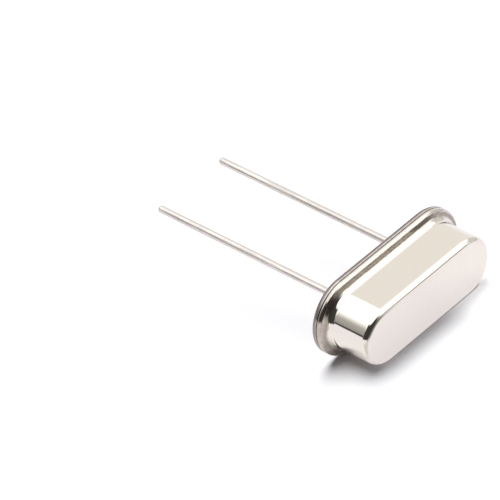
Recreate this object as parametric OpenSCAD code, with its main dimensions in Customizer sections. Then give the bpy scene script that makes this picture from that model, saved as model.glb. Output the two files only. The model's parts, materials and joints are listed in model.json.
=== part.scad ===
// Low-profile two-lead quartz crystal unit in a resistance-welded metal case.
//
// Every piece is drawn upright first, on the case's own axis: z = 0 is the underside of the base,
// the leads run down from it and the can stands above it, x runs along the case and y across it.
// at_rest() then lays the finished unit on its long side, as it lies when it is set down by itself:
// on the edge of its flange and the crown of its can, with the leads clear of the surface.

/* [Can] */
// Width of the can
can_w = 3.5; // [3.4:0.02:3.6]
// Height of the closed case, from the underside of the base to the face of the can
case_h = 3.4; // [3:0.1:3.7]
// Thickness of the drawn sheet
sheet = 0.25; // [0.18:0.01:0.28]
// Outer radius of the crown, where the wall turns into the face
crown_r = 0.32; // [0.29:0.01:0.5]
// Outer radius of the root, where the wall turns out into the flange
root_r = 0.4; // [0.2:0.02:0.44]

/* [Weld flange] */
// Length of the flange over its round ends
flange_l = 11.05; // [10.9:0.05:11.5]
// Width of the flange
flange_w = 4.65; // [4.6:0.05:4.9]
// Height of the can's flange at its outer edge, where welding has pressed it thinner than the sheet
edge_t = 0.22; // [0.18:0.01:0.26]
// Radius of that edge
edge_r = 0.22; // [0.1:0.01:0.24]
// Angle by which the top of the can's flange falls outwards, in degrees
ledge_fall = 20; // [15:1:24]
// Radius of the small edges that face each other at the weld seam
seam_edge_r = 0.05; // [0.02:0.01:0.06]

/* [Base] */
// Thickness of the base's rim
rim_t = 0.38; // [0.32:0.01:0.45]
// Radius of the rim's lower edge, which the stamping has rolled over
rim_r = 0.22; // [0.1:0.01:0.24]
// Height of the boss inside the can, above the rim
boss_h = 0.35; // [0.25:0.05:0.5]
// Radius round the top of the boss
boss_r = 0.12; // [0.05:0.01:0.15]
// Gap between the boss and the inside of the can
boss_gap = 0.12; // [0.08:0.01:0.25]
// Diameter of each glass bead
bead_d = 1.4; // [1.2:0.05:1.7]
// Depth of the hollow in each end of a bead, where the glass has wetted the metal
meniscus = 0.06; // [0.02:0.01:0.1]

/* [Leads] */
// Spacing of the leads, centre to centre
pitch = 4.88; // [4.7:0.02:5.1]
// Diameter of each lead
lead_d = 0.43; // [0.4:0.01:0.5]
// Length of each lead below the base
lead_l = 14; // [3:0.5:20]
// Radius round the tip of each lead
tip_r = 0.14; // [0.05:0.01:0.18]
// Diameter of the flattened head on the lead's inner end
head_d = 0.86; // [0.8:0.02:1]
// Thickness of that head
head_t = 0.14; // [0.1:0.01:0.2]

/* [Crystal] */
// Width of the quartz blank
blank_w = 1.9; // [1.5:0.05:2]
// Thickness of the quartz blank
blank_t = 0.2; // [0.12:0.01:0.3]
// Gap between each end of the blank and the inside of the can
blank_gap = 0.75; // [0.7:0.05:1.1]
// Thickness of the electrode films, drawn thicker than a real film so that they are sound solids
film_t = 0.02; // [0.015:0.005:0.03]
// Length of the electrode that faces the middle of the blank
pad_l = 4; // [3:0.1:4.4]
// Width of that electrode
pad_w = 1.3; // [1:0.05:1.4]
// Radius of each dab of conductive adhesive
dab_r = 0.42; // [0.38:0.01:0.5]

/* [Clips] */
// Thickness of the clip strip
clip_t = 0.1; // [0.06:0.01:0.12]
// Inner radius of the clip's bends
clip_bend_r = 0.1; // [0.06:0.01:0.12]
// Height of the clip's shelf, where the blank lies, above the underside of its foot
clip_rise = 0.85; // [0.6:0.05:1]
// Height of the ears on each side of the blank
ear_h = 0.32; // [0.25:0.01:0.4]

/* [Hidden] */
$fn = 96;

// overrun of cutting shapes, and the smaller one of shapes that fill or round a corner
cut = 0.5;
lap = 0.05;

// levels up the case's axis
seam_z = rim_t;
edge_z = seam_z + edge_t;
boss_top_z = rim_t + boss_h;
ceiling_z = case_h - sheet;
head_z = boss_top_z + head_t;
foot_z = head_z + head_t;
shelf_z = foot_z + clip_rise;
blank_z = shelf_z + film_t;

// outlines: each one is a straight middle with half-round ends. All share one spread from the middle to
// the centres of the ends, so the flange is equally wide all round, and each has its own half-width
spread = (flange_l - flange_w) / 2;
can_half_l = spread + can_w / 2;
inside_half_w = can_w / 2 - sheet;
boss_half_w = inside_half_w - boss_gap;

// The top of the can's flange falls outwards. Its corners are given as [half-width, level]: the tip at its
// outer edge and the foot at the wall. Each one has a radius that touches the slope and a vertical face
edge_tip = [flange_w / 2, edge_z];
wall_foot = [can_w / 2, edge_z + (flange_w - can_w) / 2 * tan(ledge_fall)];
off_the_slope = [sin(ledge_fall), cos(ledge_fall)];
edge_c = edge_tip - [edge_r, edge_r * corner_rise()];
root_c = wall_foot + [root_r, root_r * corner_rise()];

// the flare under the flange is as wide as the root and the sheet together, so that the sheet keeps its
// thickness up the wall
flare_r = root_r + sheet;
// the inside of the crown is concentric with its outside
inner_crown_r = crown_r - sheet;

// leads
lead_r = lead_d / 2;
// upsetting the head leaves the wire a little thicker where it passes through the glass
neck_r = lead_r + 0.03;

// crystal and clips
blank_l = 2 * (can_half_l - sheet - blank_gap);
film_end_x = blank_l / 2 + film_t;
wrap_l = 0.8;
tail_w = 0.5;
leg_x = blank_l / 2 - wrap_l / 2 - clip_t;
tongue_x = film_end_x + dab_r;
tongue_w = 2 * dab_r + 0.06;
ear_gap = 0.05;
// the ears end flush with the blank, clear of the can's round end
ear_end_x = blank_l / 2;
foot_w = head_d;
clip_w = blank_w + 2 * (film_t + ear_gap + clip_t);
slot_w = 0.5;

// Rest pose. Two rounded edges meet the surface: the outer edge of the can's flange and the can's crown.
// The centre of each is given by its drop below the axis and its level up the axis.
crown_c = [can_w / 2 - crown_r, case_h - crown_r];
reach = crown_c - edge_c;
// angle at which one line is tangent to both edges
tilt = acos((crown_r - edge_r) / norm(reach)) - atan2(reach[1], -reach[0]);
// height of the case's axis above the surface at the underside of the base
lift = edge_c[0] * cos(tilt) + edge_c[1] * sin(tilt) + edge_r;
// the unit is centred on the origin from the upper side of its crown to the lower side of its lead tips
front_y = -(crown_c[1] * cos(tilt) + crown_c[0] * sin(tilt) + crown_r);
back_y = (lead_l - tip_r) * cos(tilt) + (lead_r - tip_r) * sin(tilt) + tip_r;
shift_y = -(front_y + back_y) / 2;

// Height of a unit radius's centre above the corner where the flange's slope meets a vertical face
function corner_rise() = 1 / cos(ledge_fall) - tan(ledge_fall);

// Lays an upright piece down in the unit's rest pose
module at_rest() {
    translate([0, shift_y, lift]) rotate([90 + tilt, 0, 0]) children();
}

// Sweeps a half-section round a long outline with half-round ends. The section is drawn from the middle
// plane (x = 0) outwards, with y up the case's axis, and stays solid all the way in.
module pill() {
    for (side = [-1, 1])
        translate([side * spread, 0, 0]) rotate_extrude() children();
    rotate([90, 0, 90]) translate([0, 0, -spread]) linear_extrude(2 * spread) {
        children();
        mirror([1, 0]) children();
    }
}

// Fills the corner between a wall (on the left) and a ledge (below) with a hollow radius. Taken away
// from a solid corner instead, it leaves that corner rounded.
module hollow_corner(radius) {
    difference() {
        square(radius);
        translate([radius, radius]) circle(radius);
    }
}

// Half-section of a plate or a block, with its lower and upper outer edges rounded where a radius is given
module plate_section(half_w, thickness, lower_r = 0, upper_r = 0) {
    difference() {
        square([half_w, thickness]);
        if (lower_r > 0)
            translate([half_w, 0]) mirror([1, 0]) hollow_corner(lower_r);
        if (upper_r > 0)
            translate([half_w, thickness]) rotate(180) hollow_corner(upper_r);
    }
}

// ---- can ----

// Fills the corner between the slope on top of the flange and a vertical face with a hollow radius, whose
// centre lies above (1) or below (-1) the slope. The filling laps over the slope and the face.
module slope_corner(corner, centre, radius, side) {
    difference() {
        polygon([
            centre, [corner[0] - side * lap, centre[1]], corner - side * [lap, lap],
            centre - side * (radius + lap) * off_the_slope
        ]);
        translate(centre) circle(radius);
    }
}

// Half-section of the can's flange
module flange_section() {
    difference() {
        polygon([[0, seam_z], [edge_tip[0], seam_z], edge_tip, wall_foot, [0, wall_foot[1]]]);
        translate([edge_tip[0], seam_z]) mirror([1, 0]) hollow_corner(seam_edge_r);
        slope_corner(edge_tip, edge_c, edge_r, side = -1);
    }
}

// Half-section of the can filled solid, from the seam up to the face
module can_outside_section() {
    flange_section();
    translate([0, seam_z]) plate_section(can_w / 2, case_h - seam_z, upper_r = crown_r);
    slope_corner(wall_foot, root_c, root_r, side = 1);
}

// Half-section of the space inside the can, flared where the sheet turns out into the flange
module can_inside_section() {
    translate([0, seam_z - cut])
        plate_section(inside_half_w, ceiling_z - seam_z + cut, upper_r = inner_crown_r);
    translate([inside_half_w, seam_z]) hollow_corner(flare_r);
    translate([0, seam_z - cut]) square([inside_half_w + flare_r, cut]);
}

module can_shell() {
    difference() {
        pill() can_outside_section();
        pill() can_inside_section();
    }
}

// ---- base ----

module at_each_lead() {
    for (side = [-1, 1]) translate([side * pitch / 2, 0, 0]) children();
}

module base_plate() {
    difference() {
        union() {
            pill() plate_section(flange_w / 2, rim_t, rim_r, seam_edge_r);
            pill() plate_section(boss_half_w, boss_top_z, upper_r = boss_r);
        }
        at_each_lead() translate([0, 0, -cut]) cylinder(d = bead_d, h = boss_top_z + 2 * cut);
    }
}

// ---- leads and their glass ----

// Radius of the lead's neck at a level in the glass
function neck_at(z) = lead_r + (neck_r - lead_r) * z / head_z;

module glass_bead() {
    // radius of the hollow that dips by the meniscus between the lead and the hole
    span = bead_d / 2 - lead_r;
    dish_r = (pow(span / 2, 2) + pow(meniscus, 2)) / (2 * meniscus);
    dish_x = lead_r + span / 2;
    rotate_extrude() difference() {
        polygon([
            [neck_at(0), 0], [bead_d / 2, 0],
            [bead_d / 2, boss_top_z], [neck_at(boss_top_z), boss_top_z]
        ]);
        translate([dish_x, meniscus - dish_r]) circle(dish_r);
        translate([dish_x, boss_top_z - meniscus + dish_r]) circle(dish_r);
    }
}

module lead() {
    // the wire below the base, with a rounded tip
    rotate_extrude() {
        translate([0, -lead_l]) square([lead_r - tip_r, lead_l]);
        translate([lead_r - tip_r, tip_r - lead_l]) square([tip_r, lead_l - tip_r]);
        intersection() {
            translate([lead_r - tip_r, tip_r - lead_l]) circle(tip_r);
            translate([0, -lead_l]) square([lead_r, tip_r]);
        }
    }
    // the neck in the glass and the flattened head above it
    cylinder(r1 = neck_at(0), r2 = neck_at(head_z), h = head_z);
    translate([0, 0, head_z]) cylinder(d = head_d, h = head_t);
}

// ---- crystal ----

module blank() {
    translate([-blank_l / 2, -blank_w / 2, blank_z]) cube([blank_l, blank_w, blank_t]);
}

// Film on the upper face, with a tail to the right-hand end and a wrap round that end
module electrode() {
    translate([0, 0, blank_z + blank_t]) linear_extrude(film_t) {
        translate([-pad_l / 2, -pad_w / 2]) square([pad_l, pad_w]);
        translate([0, -tail_w / 2]) square([film_end_x, tail_w]);
        translate([blank_l / 2 - wrap_l, -blank_w / 2]) square([wrap_l + film_t, blank_w]);
    }
    translate([blank_l / 2, -blank_w / 2, blank_z]) cube([film_t, blank_w, blank_t]);
    translate([blank_l / 2 - wrap_l, -blank_w / 2, shelf_z]) cube([wrap_l + film_t, blank_w, film_t]);
}

// Dab that bridges the blank's end and the clip's tongue
module adhesive() {
    difference() {
        translate([film_end_x, 0, shelf_z]) intersection() {
            sphere(dab_r);
            translate([-dab_r, -dab_r, 0]) cube([2 * dab_r, 2 * dab_r, dab_r]);
        }
        translate([film_end_x - 2 * dab_r, -blank_w / 2, shelf_z - cut])
            cube([2 * dab_r, blank_w, cut + blank_t + 2 * film_t]);
    }
}

// ---- clips ----

// Edge-on outline of the bent strip: foot, leg and shelf, with true arcs at its two bends
module clip_side_section() {
    outer_r = clip_bend_r + clip_t;
    foot_bend = [leg_x - clip_bend_r, foot_z + outer_r];
    shelf_bend = [leg_x + outer_r, shelf_z - outer_r];
    translate([pitch / 2 - foot_w / 2, foot_z]) square([foot_bend[0] - pitch / 2 + foot_w / 2, clip_t]);
    translate([leg_x, foot_bend[1]]) square([clip_t, shelf_bend[1] - foot_bend[1]]);
    translate([shelf_bend[0], shelf_z - clip_t]) square([tongue_x - shelf_bend[0], clip_t]);
    translate(foot_bend) quarter_bend(outer_r) translate([0, -outer_r]) square(outer_r);
    translate(shelf_bend) quarter_bend(outer_r) translate([-outer_r, 0]) square(outer_r);
}

// One quarter of the ring that a bend leaves, picked out by the child square
module quarter_bend(outer_r) {
    intersection() {
        difference() {
            circle(outer_r);
            circle(clip_bend_r);
        }
        children();
    }
}

// Outline of the strip from above: round foot, wide leg with a slot, tongue under the dab
module clip_plan() {
    translate([pitch / 2, 0]) circle(d = foot_w);
    translate([pitch / 2, -foot_w / 2]) square([leg_x - clip_bend_r - pitch / 2, foot_w]);
    difference() {
        translate([leg_x - clip_bend_r, -clip_w / 2]) square([ear_end_x - leg_x + clip_bend_r, clip_w]);
        translate([leg_x - clip_bend_r - cut, -slot_w / 2]) square([cut + 2 * clip_bend_r + clip_t, slot_w]);
    }
    translate([ear_end_x, -tongue_w / 2]) square([tongue_x - ear_end_x, tongue_w]);
}

module clip() {
    intersection() {
        rotate([90, 0, 0]) translate([0, 0, -clip_w]) linear_extrude(2 * clip_w) clip_side_section();
        linear_extrude(case_h) clip_plan();
    }
    // ears, bent up from the shelf on each side of the blank
    ear_x = leg_x + clip_t + clip_bend_r;
    for (side = [-1, 1])
        translate([ear_x, side * (clip_w - clip_t) / 2 - clip_t / 2, shelf_z - clip_t])
            cube([ear_end_x - ear_x, clip_t, clip_t + ear_h]);
}

// ---- the named pieces ----

module can() {
    color("gainsboro") at_rest() can_shell();
}

module base() {
    color("silver") at_rest() base_plate();
}

module glass_left() {
    color("seagreen") at_rest() translate([-pitch / 2, 0, 0]) glass_bead();
}

module glass_right() {
    color("seagreen") at_rest() translate([pitch / 2, 0, 0]) glass_bead();
}

module lead_left() {
    color("lightgray") at_rest() translate([-pitch / 2, 0, 0]) lead();
}

module lead_right() {
    color("lightgray") at_rest() translate([pitch / 2, 0, 0]) lead();
}

module clip_left() {
    color("darkgray") at_rest() mirror([1, 0, 0]) clip();
}

module clip_right() {
    color("darkgray") at_rest() clip();
}

module quartz_blank() {
    color("aliceblue") at_rest() blank();
}

module electrode_top() {
    color("white") at_rest() electrode();
}

// the lower film is the upper one turned over end for end, so its tail runs to the left-hand end
module electrode_bottom() {
    color("white") at_rest() translate([0, 0, 2 * blank_z + blank_t]) rotate([0, 180, 0]) electrode();
}

module adhesive_left() {
    color("dimgray") at_rest() mirror([1, 0, 0]) adhesive();
}

module adhesive_right() {
    color("dimgray") at_rest() adhesive();
}

can();
base();
glass_left();
glass_right();
lead_left();
lead_right();
clip_left();
clip_right();
quartz_blank();
electrode_top();
electrode_bottom();
adhesive_left();
adhesive_right();
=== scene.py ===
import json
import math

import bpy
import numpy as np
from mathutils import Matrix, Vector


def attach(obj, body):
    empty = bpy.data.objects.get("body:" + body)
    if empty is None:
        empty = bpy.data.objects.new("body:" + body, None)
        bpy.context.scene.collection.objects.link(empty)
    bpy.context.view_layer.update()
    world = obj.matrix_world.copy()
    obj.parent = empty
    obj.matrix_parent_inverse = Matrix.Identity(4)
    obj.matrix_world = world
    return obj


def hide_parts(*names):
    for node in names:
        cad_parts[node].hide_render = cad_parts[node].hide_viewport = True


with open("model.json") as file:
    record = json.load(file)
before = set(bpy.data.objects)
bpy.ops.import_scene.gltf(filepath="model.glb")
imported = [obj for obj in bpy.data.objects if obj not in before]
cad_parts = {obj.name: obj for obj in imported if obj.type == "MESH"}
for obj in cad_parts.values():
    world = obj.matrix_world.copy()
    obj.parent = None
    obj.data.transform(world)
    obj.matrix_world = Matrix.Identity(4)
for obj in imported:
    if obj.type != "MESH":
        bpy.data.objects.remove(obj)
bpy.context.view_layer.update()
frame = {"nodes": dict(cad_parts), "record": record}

# Looks of a low-profile two-lead quartz crystal unit in a welded metal case.
#
# The outer pieces are drawn here as smooth surfaces in the unit's own axes, in millimetres: x along the
# case, y across it and z up its axis, with the origin on the underside of the base. to_row() lays them
# down where the solids lie. The pieces sealed inside the can keep their solids and get a finish.

MM, MICRON = 1e-3, 1e-6

# ---- the unit's own axes, from the mount on the underside of the base ----

SEAT = next(mount for mount in frame["record"]["mounts"] if mount["name"] == "seat")
SEAT_POINT = np.array(SEAT["pos_m"])
UP_THE_AXIS = -np.array(SEAT["axis"])
ALONG_THE_CASE = np.array([1.0, 0.0, 0.0])
OWN_AXES = np.array([ALONG_THE_CASE, np.cross(UP_THE_AXIS, ALONG_THE_CASE), UP_THE_AXIS])


def to_row(points):
    """Points in the unit's own millimetres, turned and moved to the row frame in metres."""
    return points * MM @ OWN_AXES + SEAT_POINT


def reach_of(node, above=-math.inf):
    """Lowest and highest corner of a solid along the unit's own axes, in millimetres. With a level
    given, only the part of the solid above it is measured."""
    mesh = frame["nodes"][node].data
    points = np.empty(len(mesh.vertices) * 3)
    mesh.vertices.foreach_get("co", points)
    own = (points.reshape(-1, 3) - SEAT_POINT) @ OWN_AXES.T / MM
    own = own[own[:, 2] > above]
    return own.min(axis=0), own.max(axis=0)


# ---- sizes, in millimetres ----

# read from the solids. What is measured above the seam starts this far over it
CLEAR = 0.01
FLANGE_LOW, FLANGE_HIGH = reach_of("can")
SEAM_LEVEL, FACE_LEVEL = FLANGE_LOW[2], FLANGE_HIGH[2]
FLANGE_HALF_L, FLANGE_HALF_W = FLANGE_HIGH[:2]
SPREAD = FLANGE_HALF_L - FLANGE_HALF_W
CAN_HALF_W = reach_of("can", above=(SEAM_LEVEL + FACE_LEVEL) / 2)[1][1]
BOSS_HALF_W, BOSS_LEVEL = reach_of("base", above=SEAM_LEVEL + CLEAR)[1][1:]
LEAD_LOW, LEAD_HIGH = reach_of("lead_right")
LEAD_TIP_LEVEL, HEAD_TOP_LEVEL = LEAD_LOW[2], LEAD_HIGH[2]
LEAD_X = (LEAD_LOW[0] + LEAD_HIGH[0]) / 2
HEAD_R = LEAD_HIGH[1]
LEAD_R = next(m["dims"]["r_mm"] for m in frame["record"]["mounts"] if m["name"] == "pin_right")
BEAD_R = reach_of("glass_right")[1][1]

# the same as the solids have
SHEET = 0.25
CROWN_R = 0.32
ROOT_R = 0.4
EDGE_T = 0.22
EDGE_R = 0.22
LEDGE_FALL = 20.0
RIM_R = 0.22
BOSS_EDGE_R = 0.12
SEAM_EDGE_R = 0.05
TIP_R = 0.14
HEAD_T = 0.14
NECK_EXTRA_R = 0.03
MENISCUS = 0.06

# breaks on edges that the solids have sharp
HOLE_BREAK_R = 0.02
HEAD_BREAK_R = 0.03

# what the drawn glass leaves free against the metal, so that their skins don't coincide
SKIN_GAP = 0.001

# ---- profiles: rows of half-width, level and the outward direction (across, up) ----


def arc(centre, radius, start, end, steps=12, hollow=False):
    """A round stretch of a profile: the centre plus the radius in a direction that turns evenly from
    the start to the end angle, in degrees. A hollow one faces its own centre."""
    turn = np.radians(np.linspace(start, end, steps + 1))
    across, up = np.cos(turn), np.sin(turn)
    facing = -1.0 if hollow else 1.0
    return np.stack([centre[0] + radius * across, centre[1] + radius * up, facing * across, facing * up],
                    axis=1)


def flat(half_width, level, facing, steps=1):
    """A straight stretch of a profile from one half-width and level to another, each given as a pair,
    with one outward direction."""
    share = np.linspace(0, 1, steps + 1)
    columns = [np.interp(share, [0, 1], pair) for pair in (half_width, level)]
    across, up = facing
    return np.stack([*columns, np.full_like(share, across), np.full_like(share, up)], axis=1)


UPWARD, DOWNWARD = (0.0, 1.0), (0.0, -1.0)
OUTWARD, INWARD = (1.0, 0.0), (-1.0, 0.0)

# ---- paths: columns of the place along the spine and the outward angle ----


def long_path(turn_steps=72, run_steps=48):
    """Once round a long outline with half-round ends: a run along one side, half a turn at the left
    end, a run back and half a turn at the right end."""
    run = np.linspace(SPREAD, -SPREAD, run_steps, endpoint=False)
    turn = np.linspace(0.5, 1.5, turn_steps, endpoint=False) * math.pi
    place = np.concatenate([run, np.full(turn_steps, -SPREAD), -run, np.full(turn_steps, SPREAD)])
    angle = np.concatenate([np.full(run_steps, 0.5 * math.pi), turn,
                            np.full(run_steps, 1.5 * math.pi), turn + math.pi])
    return place[:, None], angle[:, None]


def round_path(steps=64):
    """Once round a circle."""
    angle = np.linspace(0, 2 * math.pi, steps, endpoint=False)[:, None]
    return np.zeros_like(angle), angle


def carry(profile, path, centre_x=0.0):
    """A profile carried round a path. Each point is the path's place on the spine plus the row's
    half-width in the outward direction, at the row's level. Its normal is the row's own direction
    turned the same way. Gives arrays of points and normals, path by profile."""
    place, angle = path
    half_width, level, across, up = profile.T
    points = np.stack(np.broadcast_arrays(centre_x + place + half_width * np.cos(angle),
                                          half_width * np.sin(angle), level), axis=-1)
    normals = np.stack(np.broadcast_arrays(across * np.cos(angle), across * np.sin(angle), up), axis=-1)
    return points, normals


# ---- meshes ----


def piece_from(name, patches, material, stands_for):
    """One closed mesh from grids of points and normals. Each grid closes on itself along its first
    index, and its quads run forward along the second. Points that fall together are merged, quads
    that lose a corner become triangles and those that lose two are dropped. Every corner keeps its
    own grid's normal, so a row that is given twice with two directions is a crisp edge."""
    points, normals, quads, start = [], [], [], 0
    for grid, facing in patches:
        around, along = grid.shape[:2]
        index = start + np.arange(around * along).reshape(around, along)
        following = np.roll(index, -1, axis=0)
        quads.append(np.stack([index[:, :-1], index[:, 1:], following[:, 1:], following[:, :-1]],
                              axis=-1).reshape(-1, 4))
        points.append(grid.reshape(-1, 3))
        normals.append(facing.reshape(-1, 3))
        start += around * along
    points, normals, quads = map(np.concatenate, (points, normals, quads))

    merged, source, vertex_of = np.unique(np.round(points, 6) + 0.0, axis=0, return_index=True,
                                          return_inverse=True)
    corners = vertex_of.ravel()[quads]
    kept = corners != np.roll(corners, -1, axis=1)
    kept[kept.sum(axis=1) < 3] = False
    sizes = kept.sum(axis=1)
    sizes = sizes[sizes > 0]

    mesh = bpy.data.meshes.new(name)
    mesh.vertices.add(len(merged))
    mesh.vertices.foreach_set("co", to_row(points[source]).ravel())
    mesh.loops.add(int(sizes.sum()))
    mesh.loops.foreach_set("vertex_index", corners[kept])
    mesh.polygons.add(len(sizes))
    mesh.polygons.foreach_set("loop_start", np.cumsum(sizes) - sizes)
    mesh.polygons.foreach_set("use_smooth", np.ones(len(sizes), dtype=bool))
    mesh.update(calc_edges=True)
    mesh.validate()
    mesh.normals_split_custom_set(normals[quads][kept] @ OWN_AXES)
    mesh.materials.append(material)

    piece = bpy.data.objects.new(name, mesh)
    bpy.context.scene.collection.objects.link(piece)
    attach(piece, "root")
    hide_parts(*stands_for)
    return piece


def ledge_level(half_width):
    """Level of the top of the flange, which falls outwards to the top of its edge."""
    return SEAM_LEVEL + EDGE_T + (FLANGE_HALF_W - half_width) * math.tan(math.radians(LEDGE_FALL))


def can_profile():
    """The drawn can, once round its sheet: out across the face, round the crown, down the wall, out
    round the root, over the flange's edge, back under it, and up the inside to the ceiling."""
    inside = CAN_HALF_W - SHEET
    ceiling = FACE_LEVEL - SHEET
    inner_crown_r = CROWN_R - SHEET
    flare_r = ROOT_R + SHEET

    def touching_the_ledge(half_width, radius):
        """Centre of a circle at a half-width that touches the ledge, from above with a positive radius
        and from below with a negative one."""
        return half_width, ledge_level(half_width) + radius / math.cos(math.radians(LEDGE_FALL))

    root_centre = touching_the_ledge(CAN_HALF_W + ROOT_R, ROOT_R)
    edge_centre = touching_the_ledge(FLANGE_HALF_W - EDGE_R, -EDGE_R)
    return np.concatenate([
        flat((0, CAN_HALF_W - CROWN_R), (FACE_LEVEL, FACE_LEVEL), UPWARD, 8),
        arc((CAN_HALF_W - CROWN_R, FACE_LEVEL - CROWN_R), CROWN_R, 90, 0, 24),
        arc(root_centre, ROOT_R, 180, 270 - LEDGE_FALL, 24, hollow=True),
        arc(edge_centre, EDGE_R, 90 - LEDGE_FALL, 0, 20),
        arc((FLANGE_HALF_W - SEAM_EDGE_R, SEAM_LEVEL + SEAM_EDGE_R), SEAM_EDGE_R, 0, -90, 10),
        arc((inside + flare_r, SEAM_LEVEL + flare_r), flare_r, 270, 180, 18),
        arc((inside - inner_crown_r, ceiling - inner_crown_r), inner_crown_r, 0, 90, 8, hollow=True),
        flat((inside - inner_crown_r, 0), (ceiling, ceiling), DOWNWARD),
    ])


def base_profile():
    """The base's skin between its two pierced flats: down the side of the boss, out along the seam,
    round the rim and in under it to the flat part of the underside."""
    return np.concatenate([
        arc((BOSS_HALF_W - BOSS_EDGE_R, BOSS_LEVEL - BOSS_EDGE_R), BOSS_EDGE_R, 90, 0, 8),
        flat((BOSS_HALF_W, BOSS_HALF_W), (BOSS_LEVEL - BOSS_EDGE_R, SEAM_LEVEL), OUTWARD),
        flat((BOSS_HALF_W, FLANGE_HALF_W - SEAM_EDGE_R), (SEAM_LEVEL, SEAM_LEVEL), UPWARD),
        arc((FLANGE_HALF_W - SEAM_EDGE_R, SEAM_LEVEL - SEAM_EDGE_R), SEAM_EDGE_R, 90, 0, 10),
        arc((FLANGE_HALF_W - RIM_R, RIM_R), RIM_R, 0, -90, 20),
    ])


def pierced_half(outline, hole_x, level, facing, rings=6):
    """Half of a flat round one hole. Spokes leave the hole's centre through every point of the
    outline, and rings run between the hole's broken edge and the outline. Gives the grid, and the
    spokes' angles for the bore."""
    hole = np.array([hole_x, 0.0, level])
    angle = np.unwrap(np.arctan2(outline[:, 1], outline[:, 0] - hole_x))
    rim = hole + (BEAD_R + HOLE_BREAK_R) * np.stack([np.cos(angle), np.sin(angle), 0 * angle], axis=1)
    share = np.linspace(0, 1, rings + 1)[None, :, None]
    grid = rim[:, None] + share * (outline - rim)[:, None]
    if facing is DOWNWARD:
        grid = grid[:, ::-1]
    return (grid, np.broadcast_to([0.0, *facing], grid.shape)), angle


def base_patches():
    """The base: its skin, the flats of the boss and of the underside, each in two halves round a
    hole, and the two bores that join them."""
    path = long_path()
    skin = carry(base_profile(), path)
    # samples where the spine's middle is passed, on the far side and on the near side
    far, near = np.flatnonzero(np.isclose(path[0], 0))
    middle_steps = 24
    halves = {}
    for column, level, facing in ((0, BOSS_LEVEL, UPWARD), (-1, 0.0, DOWNWARD)):
        ring = skin[0][:, column]
        crossing = ring[near] + np.linspace(0, 1, middle_steps + 1)[1:-1, None] * (ring[far] - ring[near])
        left = np.concatenate([ring[far:near + 1], crossing])
        right = np.concatenate([ring[near:], ring[:far + 1], crossing[::-1]])
        halves[facing] = [pierced_half(left, -LEAD_X, level, facing),
                          pierced_half(right, LEAD_X, level, facing)]
    bore = bore_profile()
    rise = bore[:, 1] / BOSS_LEVEL
    patches = [skin]
    for (lower, low_spokes), (upper, high_spokes), hole_x in zip(halves[DOWNWARD], halves[UPWARD],
                                                                 (-LEAD_X, LEAD_X)):
        # the two flats' spokes differ a little, so the bore's turn from one set to the other
        spokes = low_spokes[:, None] + rise * (high_spokes - low_spokes)[:, None]
        patches += [lower, upper, carry(bore, (0 * spokes, spokes), hole_x)]
    return patches


def bore_profile():
    """The wall of a hole from the underside up to the boss, with a small break at each end."""
    outer = BEAD_R + HOLE_BREAK_R
    return np.concatenate([
        arc((outer, HOLE_BREAK_R), HOLE_BREAK_R, 270, 180, 4),
        arc((outer, BOSS_LEVEL - HOLE_BREAK_R), HOLE_BREAK_R, 180, 90, 4),
    ])


def lead_profile():
    """A lead from the top of its head down: the flattened head, the neck that thins out through the
    glass, the wire and its rounded tip."""
    head_low = HEAD_TOP_LEVEL - HEAD_T
    edge = HEAD_R - HEAD_BREAK_R
    neck_r = LEAD_R + NECK_EXTRA_R
    return np.concatenate([
        flat((0, edge), (HEAD_TOP_LEVEL, HEAD_TOP_LEVEL), UPWARD),
        arc((edge, HEAD_TOP_LEVEL - HEAD_BREAK_R), HEAD_BREAK_R, 90, 0, 6),
        arc((edge, head_low + HEAD_BREAK_R), HEAD_BREAK_R, 0, -90, 6),
        flat((edge, neck_r), (head_low, head_low), DOWNWARD),
        flat((neck_r, LEAD_R), (head_low, 0), OUTWARD, 4),
        flat((LEAD_R, LEAD_R), (0, LEAD_TIP_LEVEL + TIP_R), OUTWARD, 60),
        arc((LEAD_R - TIP_R, LEAD_TIP_LEVEL + TIP_R), TIP_R, 0, -90, 12),
        flat((LEAD_R - TIP_R, 0), (LEAD_TIP_LEVEL, LEAD_TIP_LEVEL), DOWNWARD),
    ])


def bead_profile():
    """A glass bead, once round its section: the hollow on top, the outside against the hole, the
    hollow underneath and the inside against the lead. Each hollow is an arc that dips by the
    meniscus between the lead and the hole."""
    inner = LEAD_R + SKIN_GAP
    outer = BEAD_R - SKIN_GAP
    middle = (inner + outer) / 2
    half_span = (outer - inner) / 2
    dish_r = (half_span ** 2 + MENISCUS ** 2) / (2 * MENISCUS)
    swing = math.degrees(math.asin(half_span / dish_r))
    neck = LEAD_R + NECK_EXTRA_R * BOSS_LEVEL / (HEAD_TOP_LEVEL - HEAD_T) + SKIN_GAP
    top = arc((middle, BOSS_LEVEL - MENISCUS + dish_r), dish_r, 270 - swing, 270 + swing, 16, hollow=True)
    bottom = arc((middle, MENISCUS - dish_r), dish_r, 90 - swing, 90 + swing, 16, hollow=True)
    top[:, 0] += (neck - inner) * (outer - top[:, 0]) / (outer - inner)
    return np.concatenate([
        top,
        flat((outer, outer), (BOSS_LEVEL, 0), OUTWARD),
        bottom,
        flat((inner, neck), (0, BOSS_LEVEL), INWARD),
    ])


# ---- node trees ----


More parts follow.
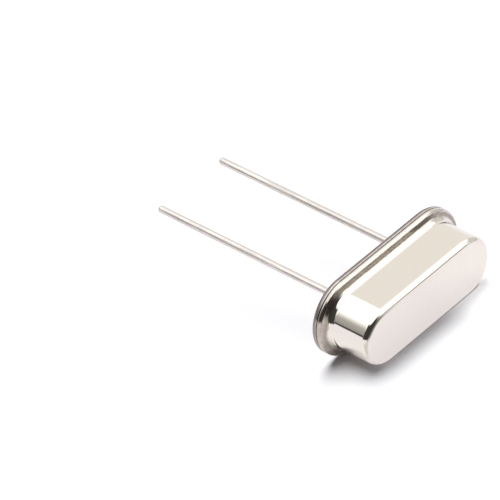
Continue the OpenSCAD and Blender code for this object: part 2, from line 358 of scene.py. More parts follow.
class Graph:
    """Short ways to place nodes in one node tree. The result is the node that takes what the tree works
    out: a material's shader, a group's output or a world's background."""

    def __init__(self, tree, result):
        self.nodes, self.links, self.result = tree.nodes, tree.links, result

    def feed(self, socket, value):
        """Links the socket to another one, or sets it to anything else."""
        if isinstance(value, bpy.types.NodeSocket):
            self.links.new(value, socket)
        elif isinstance(value, tuple) and socket.type == "RGBA":
            socket.default_value = (*value, 1)
        else:
            socket.default_value = value

    def give(self, **values):
        """Feeds the result's sockets, whose names are written with _ for a space."""
        for name, value in values.items():
            self.feed(self.result.inputs[name.replace("_", " ")], value)

    def place(self, kind, inputs=None, **settings):
        node = self.nodes.new("ShaderNode" + kind)
        for name, value in settings.items():
            setattr(node, name, value)
        for name, value in (inputs or {}).items():
            self.feed(node.inputs[name], value)
        return node

    def maths(self, operation, *values):
        node = self.place("Math", operation=operation)
        for socket, value in zip(node.inputs, values):
            self.feed(socket, value)
        return node.outputs[0]

    def chain(self, operation, first, *others):
        for other in others:
            first = self.maths(operation, first, other)
        return first

    def total(self, *values):
        return self.chain("ADD", *values)

    def product(self, *values):
        return self.chain("MULTIPLY", *values)

    def greatest(self, *values):
        return self.chain("MAXIMUM", *values)

    def ramp(self, value, start, end, low=0.0, high=1.0):
        """A smooth step from the low to the high value while the input goes from start to end."""
        return self.place("MapRange", {"Value": value, "From Min": start, "From Max": end,
                                       "To Min": low, "To Max": high},
                          interpolation_type="SMOOTHSTEP").outputs["Result"]

    def fall(self, value, start, end):
        """A smooth step from 1 down to 0."""
        return self.ramp(value, start, end, 1, 0)

    def blend(self, share, first, second):
        node = self.place("Mix", data_type="RGBA")
        for socket, value in zip((node.inputs["Factor"], node.inputs[6], node.inputs[7]),
                                 (share, first, second)):
            self.feed(socket, value)
        return node.outputs[2]

    def noise(self, point, fineness, detail):
        return self.place("TexNoise", {"Vector": point, "Scale": fineness, "Detail": detail}).outputs[0]

    def relief(self, *layers):
        """A bumped normal from heights that add up. Each layer holds the factors of its height in
        microns."""
        height = self.total(*(self.product(*layer) for layer in layers))
        return self.place("Bump", {"Height": self.product(height, MICRON),
                                   "Distance": 1.0}).outputs["Normal"]

    def group(self, tree, **inputs):
        node = self.place("Group", node_tree=tree)
        for name, value in inputs.items():
            self.feed(node.inputs[name], value)
        return node.outputs


# ---- effects that several finishes use ----


def new_group(name, inputs, outputs):
    """An empty group with named sockets. Gives its tree, its graph and its inputs by name."""
    tree = bpy.data.node_groups.new(name, "ShaderNodeTree")
    for direction, sockets in (("INPUT", inputs), ("OUTPUT", outputs)):
        for socket, kind in sockets.items():
            tree.interface.new_socket(socket, in_out=direction, socket_type=f"NodeSocket{kind}")
    given = tree.nodes.new("NodeGroupInput").outputs
    return tree, Graph(tree, tree.nodes.new("NodeGroupOutput")), given


def unit_place():
    """Where a point lies in the unit's own axes, in millimetres, and its level up the axis."""
    tree, graph, _ = new_group("unit_place", {}, {"Point": "Vector", "Level": "Float"})
    turn = Matrix(OWN_AXES.T.tolist()).to_euler()
    point = graph.place("Mapping", {"Vector": graph.place("TexCoord").outputs["Object"],
                                    "Location": tuple(SEAT_POINT), "Rotation": tuple(turn),
                                    "Scale": (MM, MM, MM)}, vector_type="TEXTURE").outputs[0]
    graph.give(Point=point, Level=graph.place("SeparateXYZ", {0: point}).outputs["Z"])
    return tree


def soft_clouds():
    """Slow changes of tone: two sizes of noise, the small one a third as strong. Tone runs from 0 to 1
    about a middle of a half."""
    tree, graph, given = new_group("soft_clouds", {"Point": "Vector", "Size": "Float"},
                                   {"Tone": "Float"})
    fineness = graph.maths("DIVIDE", 1, given["Size"])
    large = graph.noise(given["Point"], fineness, detail=2)
    small = graph.noise(given["Point"], graph.product(fineness, 7), detail=2)
    both = graph.total(graph.product(large, 0.75), graph.product(small, 0.25))
    graph.give(Tone=graph.ramp(both, 0.3, 0.7))
    return tree


def drawn_lines():
    """Marks that run up the unit's axis, left by drawing the sheet or the wire: noise that is long
    along the axis and narrow across it."""
    tree, graph, given = new_group("drawn_lines", {"Point": "Vector", "Width": "Float"},
                                   {"Line": "Float"})
    narrow = graph.place("VectorMath", {0: given["Point"], 1: (1, 1, 0.02)},
                         operation="MULTIPLY").outputs[0]
    lines = graph.noise(narrow, graph.maths("DIVIDE", 1, given["Width"]), detail=3)
    graph.give(Line=graph.ramp(lines, 0.35, 0.7))
    return tree


def weld_mottle():
    """Mottling beside the weld: patches of noise with hard edges and smaller specks inside them. Patch
    and Speck are masks, and Height is their relief, from 0 to 1."""
    tree, graph, given = new_group("weld_mottle", {"Point": "Vector", "Size": "Float"},
                                   {"Patch": "Float", "Speck": "Float", "Height": "Float"})
    fineness = graph.maths("DIVIDE", 1, given["Size"])
    patches = graph.noise(given["Point"], fineness, detail=3)
    specks = graph.noise(given["Point"], graph.product(fineness, 3.5), detail=2)
    graph.give(Patch=graph.ramp(patches, 0.42, 0.62), Speck=graph.ramp(specks, 0.58, 0.68),
               Height=graph.total(graph.product(patches, 0.7), graph.product(specks, 0.3)))
    return tree


def painted_end_shade():
    """Painted shade at the case's left-hand end: the mask is 1 at that end and 0 from a little way in."""
    tree, graph, given = new_group("painted_end_shade", {"Point": "Vector"}, {"Tint": "Float"})
    along = graph.place("SeparateXYZ", {0: given["Point"]}).outputs["X"]
    graph.give(Tint=graph.fall(along, *END_SHADE_BORDER))
    return tree


def handling_marks():
    """Hairline scratches: noise squeezed into thin streaks that run in three directions, of which only
    the crests are kept. Scratch is a mask, and a greater Share keeps more of the streaks."""
    tree, graph, given = new_group("handling_marks", {"Point": "Vector", "Share": "Float"},
                                   {"Scratch": "Float"})
    crest = graph.maths("MULTIPLY_ADD", given["Share"], -0.06, 0.88)
    streaks = []
    for turn in ((0.4, 0.2, 0.7), (1.3, -0.5, 2.0), (-0.6, 1.1, 2.9)):
        squeezed = graph.place("Mapping", {"Vector": given["Point"], "Rotation": turn,
                                           "Scale": (0.9, 45, 45)}).outputs[0]
        streaks.append(graph.ramp(graph.noise(squeezed, 1.0, detail=0), crest, graph.total(crest, 0.04)))
    graph.give(Scratch=graph.greatest(*streaks))
    return tree


def etch_pits():
    """The fine pits that etching leaves: cells whose Height is 0 in the middle and rises to their
    borders."""
    tree, graph, given = new_group("etch_pits", {"Point": "Vector"}, {"Height": "Float"})
    graph.give(Height=graph.place("TexVoronoi", {"Vector": given["Point"],
                                                 "Scale": 42.0}).outputs["Distance"])
    return tree


# Borders of the finishes, in millimetres: where each change begins and where it ends. The painted shade at
# the case's left-hand end has its borders along the case and the others are levels. The seam has one below
# it on the base and one above it on the can
END_SHADE_BORDER = (-4.8, -3.4)
UNDERSIDE_BORDER, SHEARED_SHADE_BORDER = (0.002, 0.012), (0.24, 0.31)
SEAM_BELOW, SEAM_ABOVE = (SEAM_LEVEL - 0.05, SEAM_LEVEL - 0.01), (SEAM_LEVEL + 0.01, SEAM_LEVEL + 0.05)
# where the weld's colour ends, over the foot of the can's root, and by how much that wavers
WELD_REACH, RAGGEDNESS = 0.12, 0.12
# the line of painted shade at the foot of the root: its two borders, and how much lower it lies away from
# the left-hand end
ROOT_SHADE_LOW, ROOT_SHADE_HIGH, ROOT_SHADE_DROP = (-0.05, -0.01), (0.03, 0.09), 0.045

# The scorched colour is the weld's mottle and, at the case's left-hand end, painted shade. The stain colour
# is painted shade along the foot of the root, the sheared colour is the rough lower rim darkened in part as
# painted shade, and the rim's second colour is painted shade at the left-hand end
POLISHED, WELDED, SCORCHED_AND_SHADE = (0.78, 0.73, 0.66), (0.68, 0.64, 0.59), (0.33, 0.26, 0.21)
ROOT_SHADE, SEAM, SHEARED_AND_SHADE = (0.32, 0.28, 0.24), (0.03, 0.024, 0.02), (0.26, 0.225, 0.21)
RIM, RIM_END_SHADE = (0.72, 0.65, 0.59), (0.43, 0.385, 0.345)
WIRE, WIRE_CLOUD, WIRE_LINE = (0.71, 0.67, 0.62), (0.61, 0.57, 0.525), (0.52, 0.475, 0.43)
GLASS, GLASS_CLOUD, BUBBLE = (0.022, 0.045, 0.042), (0.045, 0.08, 0.072), (0.11, 0.15, 0.14)
STRIP, STRIP_CLOUD, STRIP_LINE = (0.58, 0.56, 0.52), (0.5, 0.48, 0.44), (0.42, 0.4, 0.37)
QUARTZ, QUARTZ_CLOUD = (0.9, 0.93, 0.94), (0.84, 0.88, 0.9)
SILVER, TARNISH = (0.91, 0.9, 0.87), (0.82, 0.77, 0.68)
RESIN, RESIN_CLOUD, FLAKE = (0.33, 0.33, 0.32), (0.24, 0.24, 0.235), (0.72, 0.71, 0.69)

PLACE, CLOUDS, LINES, MOTTLE = unit_place(), soft_clouds(), drawn_lines(), weld_mottle()
END_SHADE, MARKS, PITS = painted_end_shade(), handling_marks(), etch_pits()

# ---- finishes ----


def new_material(name):
    """A node material, and its graph with the Principled BSDF as the result."""
    material = bpy.data.materials.new(name)
    material.use_nodes = True
    return material, Graph(material.node_tree, material.node_tree.nodes["Principled BSDF"])


def darker(colour, share):
    return tuple(share * channel for channel in colour)


def can_finish():
    """Bright nickel on the drawn sheet, dulled and mottled beside the weld, with a line of painted shade
    along the foot of the root. At the case's left-hand end the dulled part is darker as painted shade and
    more mottled, and the line is fainter."""
    material, graph = new_material("can_nickel")
    point, level = graph.group(PLACE)
    end_shade = graph.group(END_SHADE, Point=point)["Tint"]
    tone = graph.group(CLOUDS, Point=point, Size=1.6)["Tone"]
    grain = graph.group(CLOUDS, Point=point, Size=0.22)["Tone"]
    lines = graph.group(LINES, Point=point, Width=0.09)["Line"]
    patch, speck, mottle = graph.group(MOTTLE, Point=point, Size=0.3)
    scratch = graph.group(MARKS, Point=point, Share=1.0)["Scratch"]
    # the weld's colour ends raggedly a little way up the root
    ragged = graph.maths("MULTIPLY_ADD", mottle, -RAGGEDNESS, level)
    foot = ledge_level(CAN_HALF_W + ROOT_R)
    zone = graph.fall(ragged, foot, foot + WELD_REACH)

    bright = graph.blend(graph.product(grain, 0.35), POLISHED, darker(POLISHED, 0.94))
    # painted shade: the dulled part darker and more mottled towards the case's left-hand end
    dull = graph.blend(graph.product(end_shade, 0.4), WELDED, SCORCHED_AND_SHADE)
    mottled = graph.ramp(end_shade, 0, 1, 0.1, 0.35)
    for mask in (patch, speck):
        dull = graph.blend(graph.product(mask, mottled), dull, SCORCHED_AND_SHADE)
    # painted shade: a darker line along the foot of the root, lower away from the left-hand end and fainter
    # at it
    root_shade_level = graph.total(ragged, graph.ramp(end_shade, 0, 1, ROOT_SHADE_DROP, 0))
    line = graph.product(graph.ramp(root_shade_level, foot + ROOT_SHADE_LOW[0], foot + ROOT_SHADE_LOW[1]),
                         graph.fall(root_shade_level, foot + ROOT_SHADE_HIGH[0], foot + ROOT_SHADE_HIGH[1]))
    dull = graph.blend(graph.product(line, graph.ramp(end_shade, 0, 1, 0.9, 0.5)), dull, ROOT_SHADE)
    colour = graph.blend(graph.fall(level, *SEAM_ABOVE), graph.blend(zone, bright, dull), SEAM)
    rough = graph.total(graph.ramp(tone, 0, 1, 0.045, 0.065), graph.product(lines, 0.01),
                        graph.product(scratch, 0.04), graph.product(zone, 0.09))
    graph.give(Base_Color=colour, Metallic=1, Roughness=rough,
               Normal=graph.relief((tone, 0.8), (lines, 0.05), (scratch, -0.04), (mottle, zone, 3)))
    return material


def base_finish():
    """Nickel on the stamped plate, browned on the rim by the weld, and darker on the rim at the case's
    left-hand end as painted shade. The lower, sheared part of the rim is rough and brown-grey, darkened in
    part as painted shade, and from the joint with the can upwards the plate is nearly black."""
    material, graph = new_material("base_nickel")
    point, level = graph.group(PLACE)
    end_shade = graph.group(END_SHADE, Point=point)["Tint"]
    tone = graph.group(CLOUDS, Point=point, Size=0.9)["Tone"]
    lines = graph.group(LINES, Point=point, Width=0.05)["Line"]
    patch, _, mottle = graph.group(MOTTLE, Point=point, Size=0.2)
    scratch = graph.group(MARKS, Point=point, Share=1.0)["Scratch"]
    on_rim = graph.ramp(level, *UNDERSIDE_BORDER)
    # the lower, sheared part of the rim: rough, and darkened in part as painted shade
    sheared_and_shaded = graph.product(graph.fall(level, *SHEARED_SHADE_BORDER), on_rim)

    plate = graph.blend(graph.product(tone, 0.5), darker(POLISHED, 0.92), darker(POLISHED, 0.82))
    # painted shade: the rim darker at the case's left-hand end
    rim = graph.blend(end_shade, RIM, RIM_END_SHADE)
    rim = graph.blend(graph.product(patch, 0.35), rim, SCORCHED_AND_SHADE)
    colour = graph.blend(sheared_and_shaded, graph.blend(on_rim, plate, rim), SHEARED_AND_SHADE)
    colour = graph.blend(graph.ramp(level, *SEAM_BELOW), colour, SEAM)
    rough = graph.total(graph.ramp(tone, 0, 1, 0.08, 0.14), graph.product(scratch, 0.1),
                        graph.product(sheared_and_shaded, 0.1))
    graph.give(Base_Color=colour, Metallic=1, Roughness=rough,
               Normal=graph.relief((tone, 0.8), (scratch, -0.4), (mottle, on_rim, 6),
                                   (lines, sheared_and_shaded, 4)))
    return material


def lead_finish():
    """Nickel on drawn wire, with the lines of the die along it."""
    material, graph = new_material("lead_wire")
    point = graph.group(PLACE)["Point"]
    tone = graph.group(CLOUDS, Point=point, Size=0.7)["Tone"]
    lines = graph.group(LINES, Point=point, Width=0.06)["Line"]
    scratch = graph.group(MARKS, Point=point, Share=1.0)["Scratch"]
    colour = graph.blend(graph.product(tone, 0.6), WIRE, WIRE_CLOUD)
    rough = graph.total(graph.ramp(tone, 0, 1, 0.18, 0.3), graph.product(lines, 0.06),
                        graph.product(scratch, 0.1))
    graph.give(Base_Color=graph.blend(graph.product(lines, 0.5), colour, WIRE_LINE), Metallic=1,
               Roughness=rough, Normal=graph.relief((lines, 4), (tone, 2), (scratch, -0.5)))
    return material


def bead_finish():
    """Dark sealing glass: glossy, a little cloudy, with small bubbles under its skin."""
    material, graph = new_material("bead_glass")
    point = graph.group(PLACE)["Point"]
    tone = graph.group(CLOUDS, Point=point, Size=0.3)["Tone"]
    cells = graph.place("TexVoronoi", {"Vector": point, "Scale": 9.0}).outputs["Distance"]
    bubble = graph.fall(cells, 0.1, 0.2)
    colour = graph.blend(tone, GLASS, GLASS_CLOUD)
    graph.give(Base_Color=graph.blend(graph.product(bubble, 0.5), colour, BUBBLE),
               Roughness=graph.ramp(tone, 0, 1, 0.06, 0.16),
               Normal=graph.relief((tone, 2), (bubble, 1.5)))
    return material


def clip_finish():
    """Dull nickel strip, rolled along its length, with a little more sheen where it has been handled."""
    material, graph = new_material("clip_strip")
    point = graph.group(PLACE)["Point"]
    tone = graph.group(CLOUDS, Point=point, Size=0.5)["Tone"]
    rolled = graph.place("Mapping", {"Vector": point, "Rotation": (0, math.pi / 2, 0)}).outputs[0]
    lines = graph.group(LINES, Point=rolled, Width=0.03)["Line"]
    scratch = graph.group(MARKS, Point=point, Share=1.0)["Scratch"]
    colour = graph.blend(tone, STRIP, STRIP_CLOUD)
    rough = graph.total(graph.ramp(tone, 0, 1, 0.24, 0.34), graph.product(lines, 0.08),
                        graph.product(scratch, -0.1))
    graph.give(Base_Color=graph.blend(graph.product(lines, 0.3), colour, STRIP_LINE), Metallic=1,
               Roughness=rough, Normal=graph.relief((lines, 1), (tone, 1.5), (scratch, -0.5)))
    return material


def quartz_finish():
    """A lapped and etched quartz blank: clear inside, with a fine frost of etch pits on its faces."""
    material, graph = new_material("quartz_etched")
    point = graph.group(PLACE)["Point"]
    tone = graph.group(CLOUDS, Point=point, Size=0.9)["Tone"]
    pits = graph.group(PITS, Point=point)["Height"]
    rough = graph.total(graph.ramp(tone, 0, 1, 0.1, 0.18), graph.ramp(pits, 0, 0.4, 0.12, 0))
    graph.give(Base_Color=graph.blend(tone, QUARTZ, QUARTZ_CLOUD), Transmission_Weight=0.85, IOR=1.54,
               Roughness=rough, Normal=graph.relief((pits, 1.2)))
    return material


def electrode_finish():
    """Evaporated silver: pale and bright, with the blank's etched grain showing through the film and
    the first yellowish tarnish in clouds."""
    material, graph = new_material("silver_film")
    point = graph.group(PLACE)["Point"]
    tone = graph.group(CLOUDS, Point=point, Size=0.8)["Tone"]
    pits = graph.group(PITS, Point=point)["Height"]
    rough = graph.total(graph.ramp(tone, 0, 1, 0.2, 0.28), graph.ramp(pits, 0, 0.4, 0.08, 0))
    graph.give(Base_Color=graph.blend(graph.product(tone, 0.6), SILVER, TARNISH), Metallic=1,
               Roughness=rough, Normal=graph.relief((pits, 0.9)))
    return material


def adhesive_finish():
    """Silver-filled resin: a dull grey that is thick with bright flakes, a little smoother where the
    resin has risen to the skin."""
    material, graph = new_material("adhesive_silver")
    point = graph.group(PLACE)["Point"]
    tone = graph.group(CLOUDS, Point=point, Size=0.25)["Tone"]
    cells = graph.place("TexVoronoi", {"Vector": point, "Scale": 30.0}).outputs
    flake = graph.ramp(graph.place("SeparateColor", {0: cells["Color"]}).outputs[0], 0.55, 0.65)
    colour = graph.blend(graph.product(flake, 0.7), graph.blend(tone, RESIN, RESIN_CLOUD), FLAKE)
    rough = graph.total(graph.ramp(tone, 0, 1, 0.62, 0.48), graph.product(flake, -0.12))
    graph.give(Base_Color=colour, Metallic=graph.product(flake, 0.8), Roughness=rough,
               Normal=graph.relief((cells["Distance"], 5), (tone, 8)))
    return material


# ---- the pieces ----

CAN_NICKEL, BASE_NICKEL = can_finish(), base_finish()
LEAD_WIRE, BEAD_GLASS = lead_finish(), bead_finish()

piece_from("can_shell", [carry(can_profile(), long_path())], CAN_NICKEL, ["can"])
piece_from("base_plate", base_patches(), BASE_NICKEL, ["base"])
for side, centre_x in (("left", -LEAD_X), ("right", LEAD_X)):
    piece_from(f"lead_wire_{side}", [carry(lead_profile(), round_path(), centre_x)], LEAD_WIRE,
               [f"lead_{side}"])
    piece_from(f"glass_bead_{side}", [carry(bead_profile(), round_path(), centre_x)], BEAD_GLASS,
               [f"glass_{side}"])

# the pieces sealed inside keep their solids
for solids, material, slot in (
        (("clip_left", "clip_right"), clip_finish(), "clips"),
        (("quartz_blank",), quartz_finish(), "quartz"),
        (("electrode_top", "electrode_bottom"), electrode_finish(), "electrodes"),
        (("adhesive_left", "adhesive_right"), adhesive_finish(), "adhesive")):
    for solid in solids:
        frame["nodes"][solid].material_slots[0].material = material

# ---- the camera ----

AIM = np.array([-3.858, -0.010, 5.578]) * MM
LOOK_AZIMUTH, LOOK_DOWN, ROLL = 35.47, 30.02, -19.23
CAMERA_DISTANCE = 300 * MM
CAMERA_LENS, CAMERA_SENSOR = 407.6, 36.0


def add_camera():
    """The camera looks at the aim point from its distance, turned from +Y towards +X, tipped down and
    rolled about its own line of sight."""
    azimuth, down, roll = map(math.radians, (LOOK_AZIMUTH, LOOK_DOWN, ROLL))
    look = np.array([math.sin(azimuth) * math.cos(down), math.cos(azimuth) * math.cos(down),
                     -math.sin(down)])
    level = np.array([math.cos(azimuth), -math.sin(azimuth), 0.0])
    upright = np.cross(level, look)
    right = math.cos(roll) * level + math.sin(roll) * upright
    up = np.cross(right, look)
    data = bpy.data.cameras.new("camera")
    data.lens, data.sensor_width = CAMERA_LENS, CAMERA_SENSOR
    data.clip_start, data.clip_end = 0.01, 10
    camera = bpy.data.objects.new("camera", data)
    place = AIM - CAMERA_DISTANCE * look
    camera.matrix_world = Matrix([[*axes, at] for axes, at in zip(np.array([right, up, -look]).T, place)]
                                 + [[0, 0, 0, 1]])
    bpy.context.scene.collection.objects.link(camera)
    bpy.context.scene.camera = camera


# ---- the floor ----

FLOOR_HALF = 1.5
PAPER = (0.88, 0.87, 0.88)
# how far from the middle the floor starts to fade from reflections, and where it is gone
FLOOR_FADE = (14 * MM, 18 * MM)
# the glow painted on the floor that reflections see in place of the lit paper: its colour by and large, and
# painted shade off the case's left-hand end and, darker, further out in front
FLOOR_GLOW, CORNER_PAINTED_SHADE, FRONT_PAINTED_SHADE = (1.10, 1.08, 1.15), (0.80, 0.775, 0.74), (0.13, 0.125, 0.115)
# and its share beside the case, under that end, and at the back under that end
GLOW_BESIDE, GLOW_UNDER, GLOW_TUCKED = 0.85, 0.26, 0.03
# the case's place on the floor: half its length, its middle across and half its width, and its border
FOOTPRINT_X, FOOTPRINT_Y, FOOTPRINT_HALF_Y = 6.3 * MM, -5.775 * MM, 2.175 * MM
FOOTPRINT_BORDER = (-1.2 * MM, 0.3 * MM)
# borders of the place under the left-hand end that stays dark, and of its darkest part at the back
END_ALONG = (-5.4 * MM, -4.9 * MM)
BACK_ALONG, BACK_ACROSS = (-6.4 * MM, -5.7 * MM), (-5.95 * MM, -5.6 * MM)
# borders of the painted shade off the left-hand end
CORNER_ALONG, CORNER_ACROSS = (-5.6 * MM, -4.7 * MM), (-9.0 * MM, -8.0 * MM)
# borders of the painted shade further out in front. The third runs slantwise: it is one of the place across
# plus the slant times the place along
FRONT_ALONG, FRONT_ACROSS = (-1.2 * MM, 0.8 * MM), (-11.0 * MM, -10.55 * MM)
FRONT_SLANT, FRONT_SLANT_BORDER = -0.69, (-9.7 * MM, -7.9 * MM)


def floor_glow(graph, place):
    """The glow painted on the floor that reflections see in place of the lit paper: its share and its
    colour. It covers nearly all of the unit's shadow, and less of it under the case's left-hand end, where
    the share goes by how far a point is out of the footprint. Off that end and further out in front its
    colour is darker, as painted shade."""
    along, across, _ = graph.place("SeparateXYZ", {0: place}).outputs
    out_along = graph.maths("SUBTRACT", graph.maths("ABSOLUTE", along), FOOTPRINT_X)
    off_middle = graph.maths("ABSOLUTE", graph.maths("SUBTRACT", across, FOOTPRINT_Y))
    out_across = graph.maths("SUBTRACT", off_middle, FOOTPRINT_HALF_Y)
    back = graph.product(graph.ramp(across, *BACK_ACROSS), graph.ramp(along, *BACK_ALONG))
    least = graph.ramp(back, 0, 1, GLOW_UNDER, GLOW_TUCKED)
    footprint = graph.ramp(graph.greatest(out_along, out_across), *FOOTPRINT_BORDER, least, GLOW_BESIDE)
    left_end = graph.ramp(along, *END_ALONG, least, GLOW_BESIDE)

    # painted shade in the glow: darker off the left-hand end, and darker still further out in front
    corner = graph.product(graph.fall(along, *CORNER_ALONG), graph.fall(across, *CORNER_ACROSS))
    slant = graph.maths("MULTIPLY_ADD", along, FRONT_SLANT, across)
    front = graph.product(graph.fall(along, *FRONT_ALONG), graph.fall(across, *FRONT_ACROSS),
                          graph.fall(slant, *FRONT_SLANT_BORDER))
    share = graph.greatest(graph.maths("MINIMUM", footprint, left_end),
                           graph.product(graph.greatest(corner, front), GLOW_BESIDE))
    colour = graph.blend(front, graph.blend(corner, FLOOR_GLOW, CORNER_PAINTED_SHADE), FRONT_PAINTED_SHADE)
    return share, colour


def floor_finish():
    """Pale matt paper. Reflections see it only near the unit, mostly as a painted glow that hides most of
    the unit's shadow, and past that they look through it at the studio."""
    material, graph = new_material("floor_paper")
    graph.give(Base_Color=PAPER, Roughness=0.9, Specular_IOR_Level=0)
    place = graph.place("TexCoord").outputs["Object"]
    away = graph.place("VectorMath", {0: place}, operation="LENGTH").outputs["Value"]
    share, colour = floor_glow(graph, place)
    paper = graph.result.outputs["BSDF"]
    glow = graph.place("Emission", {"Color": colour}).outputs[0]
    clear = graph.place("BsdfTransparent").outputs["BSDF"]
    near = graph.place("MixShader", {0: share, 1: paper, 2: glow}).outputs[0]
    mirrored = graph.place("MixShader", {0: graph.ramp(away, *FLOOR_FADE), 1: near, 2: clear}).outputs[0]
    glossy = graph.place("LightPath").outputs["Is Glossy Ray"]
    both = graph.place("MixShader", {0: glossy, 1: paper, 2: mirrored}).outputs[0]
    graph.links.new(both, graph.nodes["Material Output"].inputs["Surface"])
    return material


def add_floor():
    """A wide sheet at the level that the unit lies on."""
    mesh = bpy.data.meshes.new("floor")
    corners = [(x * FLOOR_HALF, y * FLOOR_HALF, 0) for x, y in ((-1, -1), (1, -1), (1, 1), (-1, 1))]
    mesh.from_pydata(corners, [], [(0, 1, 2, 3)])
    mesh.materials.append(floor_finish())
    floor = bpy.data.objects.new("floor", mesh)
    bpy.context.scene.collection.objects.link(floor)


# ---- the tent of light ----

# The surroundings lean towards the camera by this angle, so that their horizon crosses the case's
# round ends and its crown as it would if the case lay level
LEAN = 22.03
# share of the tent's brightness that lights the floor. The lamps give the rest
FLOOR_SHARE = 0.10
# the top of the tent, as it lights the floor and as it is seen in the metal
SKY, SKY_SEEN = (3.2, 3.3, 3.5), (1.62, 1.66, 1.70)
HAZE_LOW, HAZE_HIGH = (0.40, 0.40, 0.385), (0.52, 0.52, 0.50)
CARD, CARD_END, CARD_TOP = (1.04, 1.02, 0.995), (0.79, 0.78, 0.76), (1.32, 1.36, 1.38)
GAP, DIM = (1.6, 1.57, 1.5), (0.32, 0.32, 0.31)
DARK_SIDE, SKIRTING = (0.055, 0.052, 0.046), (0.08, 0.08, 0.08)

# Borders of elevation, in degrees: where each change begins and where it ends
HAZE_RISE, SKY_RISE, SKY_SEEN_RISE = (3, 19), (17, 44), (17, 38)
CARD_EDGE, CARD_TOP_RISE, CARD_TOP_EDGE = (34, 35.5), (33, 52), (52, 60)
GAP_FOOT, GAP_TOP, DIM_TOP, DARK_TOP = (10, 16.5), (30, 45), (8, 18), (50, 60)
SKIRTING_FOOT, SKIRTING_TOP = (-3.5, -1.5), (2.5, 3.5)
# Spans of azimuth, in degrees: from, to, and how soft both borders are
CARD_SPAN, CARD_TOP_SPAN, GAP_SPAN = (35, 143, 1), (35, 75, 1), (132, 158, 4)
DIM_SPAN, DARK_SPAN = (146, 180, 3), (-196, -65, 14)
# the azimuths between which the card dims towards its end
CARD_DIMS = (68, 92)
# How far the skirting's borders move over some of the azimuths, in degrees. Both close in at the far
# end, the upper one drops beside that, and the lower one drops at the front and rises at the near end
FAR_END_SPAN, FAR_END_CLOSE = (38, 92, 4), 2.7
SIDE_SPAN, SIDE_DROP = (95, 175, 5), 4.0
FRONT_SPAN, FRONT_DROP = (158, 205, 6), 12
NEAR_END_SPAN, NEAR_END_RISE = (-138, -80, 6), 7


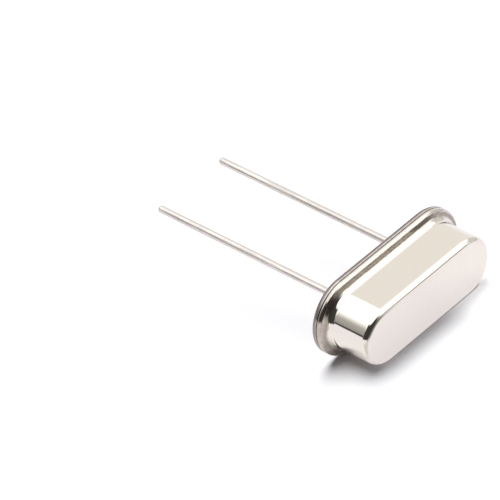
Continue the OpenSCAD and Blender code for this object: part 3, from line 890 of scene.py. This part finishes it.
def add_world():
    """A white tent. Up from a dark skirting at the horizon it clears from a grey haze to a bright top.
    It has a plain card with a paler top, a bright gap and a dim stretch where the card ends, and a dark
    side. It lights the floor with a brighter top and a share of its strength. Directions are taken in
    the leaning frame, in degrees, with the azimuth from +Y towards +X."""
    world = bpy.data.worlds.new("studio")
    world.use_nodes = True
    world.cycles.sampling_method = "NONE"
    graph = Graph(world.node_tree, world.node_tree.nodes["Background"])
    turn = graph.place("VectorRotate", {"Vector": graph.place("TexCoord").outputs["Generated"],
                                        "Angle": math.radians(-LEAN)}, rotation_type="X_AXIS")
    x, y, z = graph.place("SeparateXYZ", {0: turn.outputs["Vector"]}).outputs
    elevation = graph.product(graph.maths("ARCSINE", z), 180 / math.pi)
    azimuth = graph.product(graph.maths("ARCTAN2", x, y), 180 / math.pi)

    def within(azimuth_from, azimuth_to, soft):
        """1 between two azimuths and 0 past their soft borders."""
        middle, half = (azimuth_from + azimuth_to) / 2, (azimuth_to - azimuth_from) / 2
        off = graph.maths("SUBTRACT", azimuth, middle)
        off = graph.maths("ABSOLUTE", graph.maths("WRAP", off, 180, -180))
        return graph.fall(off, half - soft, half + soft)

    def stretch(span, foot, top):
        """1 in a span of azimuth, below its top and above its foot, if it has one."""
        height = graph.fall(elevation, *top)
        if foot:
            height = graph.product(graph.ramp(elevation, *foot), height)
        return graph.product(within(*span), height)

    # 1 where the tent is seen, straight or mirrored, and 0 where it lights a matt surface
    seen = graph.maths("LESS_THAN", graph.place("LightPath").outputs["Diffuse Depth"], 0.5)
    haze = graph.blend(graph.ramp(elevation, *HAZE_RISE), HAZE_LOW, HAZE_HIGH)
    tent = graph.blend(seen, graph.blend(graph.ramp(elevation, *SKY_RISE), haze, SKY),
                       graph.blend(graph.ramp(elevation, *SKY_SEEN_RISE), haze, SKY_SEEN))
    card = graph.blend(graph.ramp(azimuth, *CARD_DIMS), CARD, CARD_END)
    card_top = graph.blend(graph.ramp(elevation, *CARD_TOP_RISE), CARD, CARD_TOP)
    for span, foot, top, colour in ((CARD_TOP_SPAN, None, CARD_TOP_EDGE, card_top),
                                    (CARD_SPAN, None, CARD_EDGE, card),
                                    (GAP_SPAN, GAP_FOOT, GAP_TOP, GAP),
                                    (DIM_SPAN, None, DIM_TOP, DIM),
                                    (DARK_SPAN, None, DARK_TOP, DARK_SIDE)):
        tent = graph.blend(stretch(span, foot, top), tent, colour)

    far_end = graph.product(within(*FAR_END_SPAN), FAR_END_CLOSE)
    near_end = graph.product(within(*NEAR_END_SPAN), NEAR_END_RISE)
    upper_drop = graph.greatest(graph.product(within(*SIDE_SPAN), SIDE_DROP), far_end)
    lower_drop = graph.maths("SUBTRACT", graph.product(within(*FRONT_SPAN), FRONT_DROP),
                             graph.total(far_end, near_end))
    over_skirting = graph.ramp(graph.total(elevation, upper_drop), *SKIRTING_TOP)
    over_floor = graph.ramp(graph.total(elevation, lower_drop), *SKIRTING_FOOT)
    graph.give(Color=graph.blend(over_floor, FLOOR_GLOW, graph.blend(over_skirting, SKIRTING, tent)),
               Strength=graph.ramp(seen, 0, 1, FLOOR_SHARE, 1))
    bpy.context.scene.world = world


# ---- the lamps ----

LAMP_HEIGHT = 300 * MM
SOFTBOX_WATTS, SOFTBOX_AZIMUTH, SOFTBOX_TILT = 1.2, 60.0, 6.0
SOFTBOX_SIZE = (180 * MM, 360 * MM)
# a small spot that thins the shadow at the far end: where it points and how wide a patch it lights
KICKER_AIM = np.array([5.1, -8.4, 0.0]) * MM
KICKER_WATTS, KICKER_REACH, KICKER_AZIMUTH, KICKER_TILT = 4.2, 4 * MM, 125.0, 40.0


def add_lamp(name, kind, watts, aim, azimuth, tilt, **settings):
    """A lamp at the lamps' height that points at a place on the floor, from an azimuth and leaning by
    the tilt from straight above. Reflections don't see it."""
    data = bpy.data.lights.new(name, kind)
    data.energy = watts
    for setting, value in settings.items():
        setattr(data, setting, value)
    lamp = bpy.data.objects.new(name, data)
    azimuth, tilt = math.radians(azimuth), math.radians(tilt)
    above = LAMP_HEIGHT * Vector((math.sin(azimuth) * math.tan(tilt), math.cos(azimuth) * math.tan(tilt), 1))
    lamp.location = Vector(aim) + above
    lamp.rotation_euler = (-above).to_track_quat("-Z", "Y").to_euler()
    lamp.visible_glossy = False
    bpy.context.scene.collection.objects.link(lamp)


def add_lamps():
    """An oval softbox overhead that draws the unit's shadow on the floor, and the small spot."""
    add_lamp("softbox", "AREA", SOFTBOX_WATTS, (0, 0, 0), SOFTBOX_AZIMUTH, SOFTBOX_TILT, shape="ELLIPSE",
             size=SOFTBOX_SIZE[0], size_y=SOFTBOX_SIZE[1])
    away = LAMP_HEIGHT / math.cos(math.radians(KICKER_TILT))
    add_lamp("kicker", "SPOT", KICKER_WATTS, KICKER_AIM, KICKER_AZIMUTH, KICKER_TILT,
             spot_size=2 * math.atan(KICKER_REACH / away), spot_blend=1.0, shadow_soft_size=0.5 * MM)


add_camera()
add_floor()
add_world()
add_lamps()
bpy.context.scene.view_settings.view_transform = "Standard"
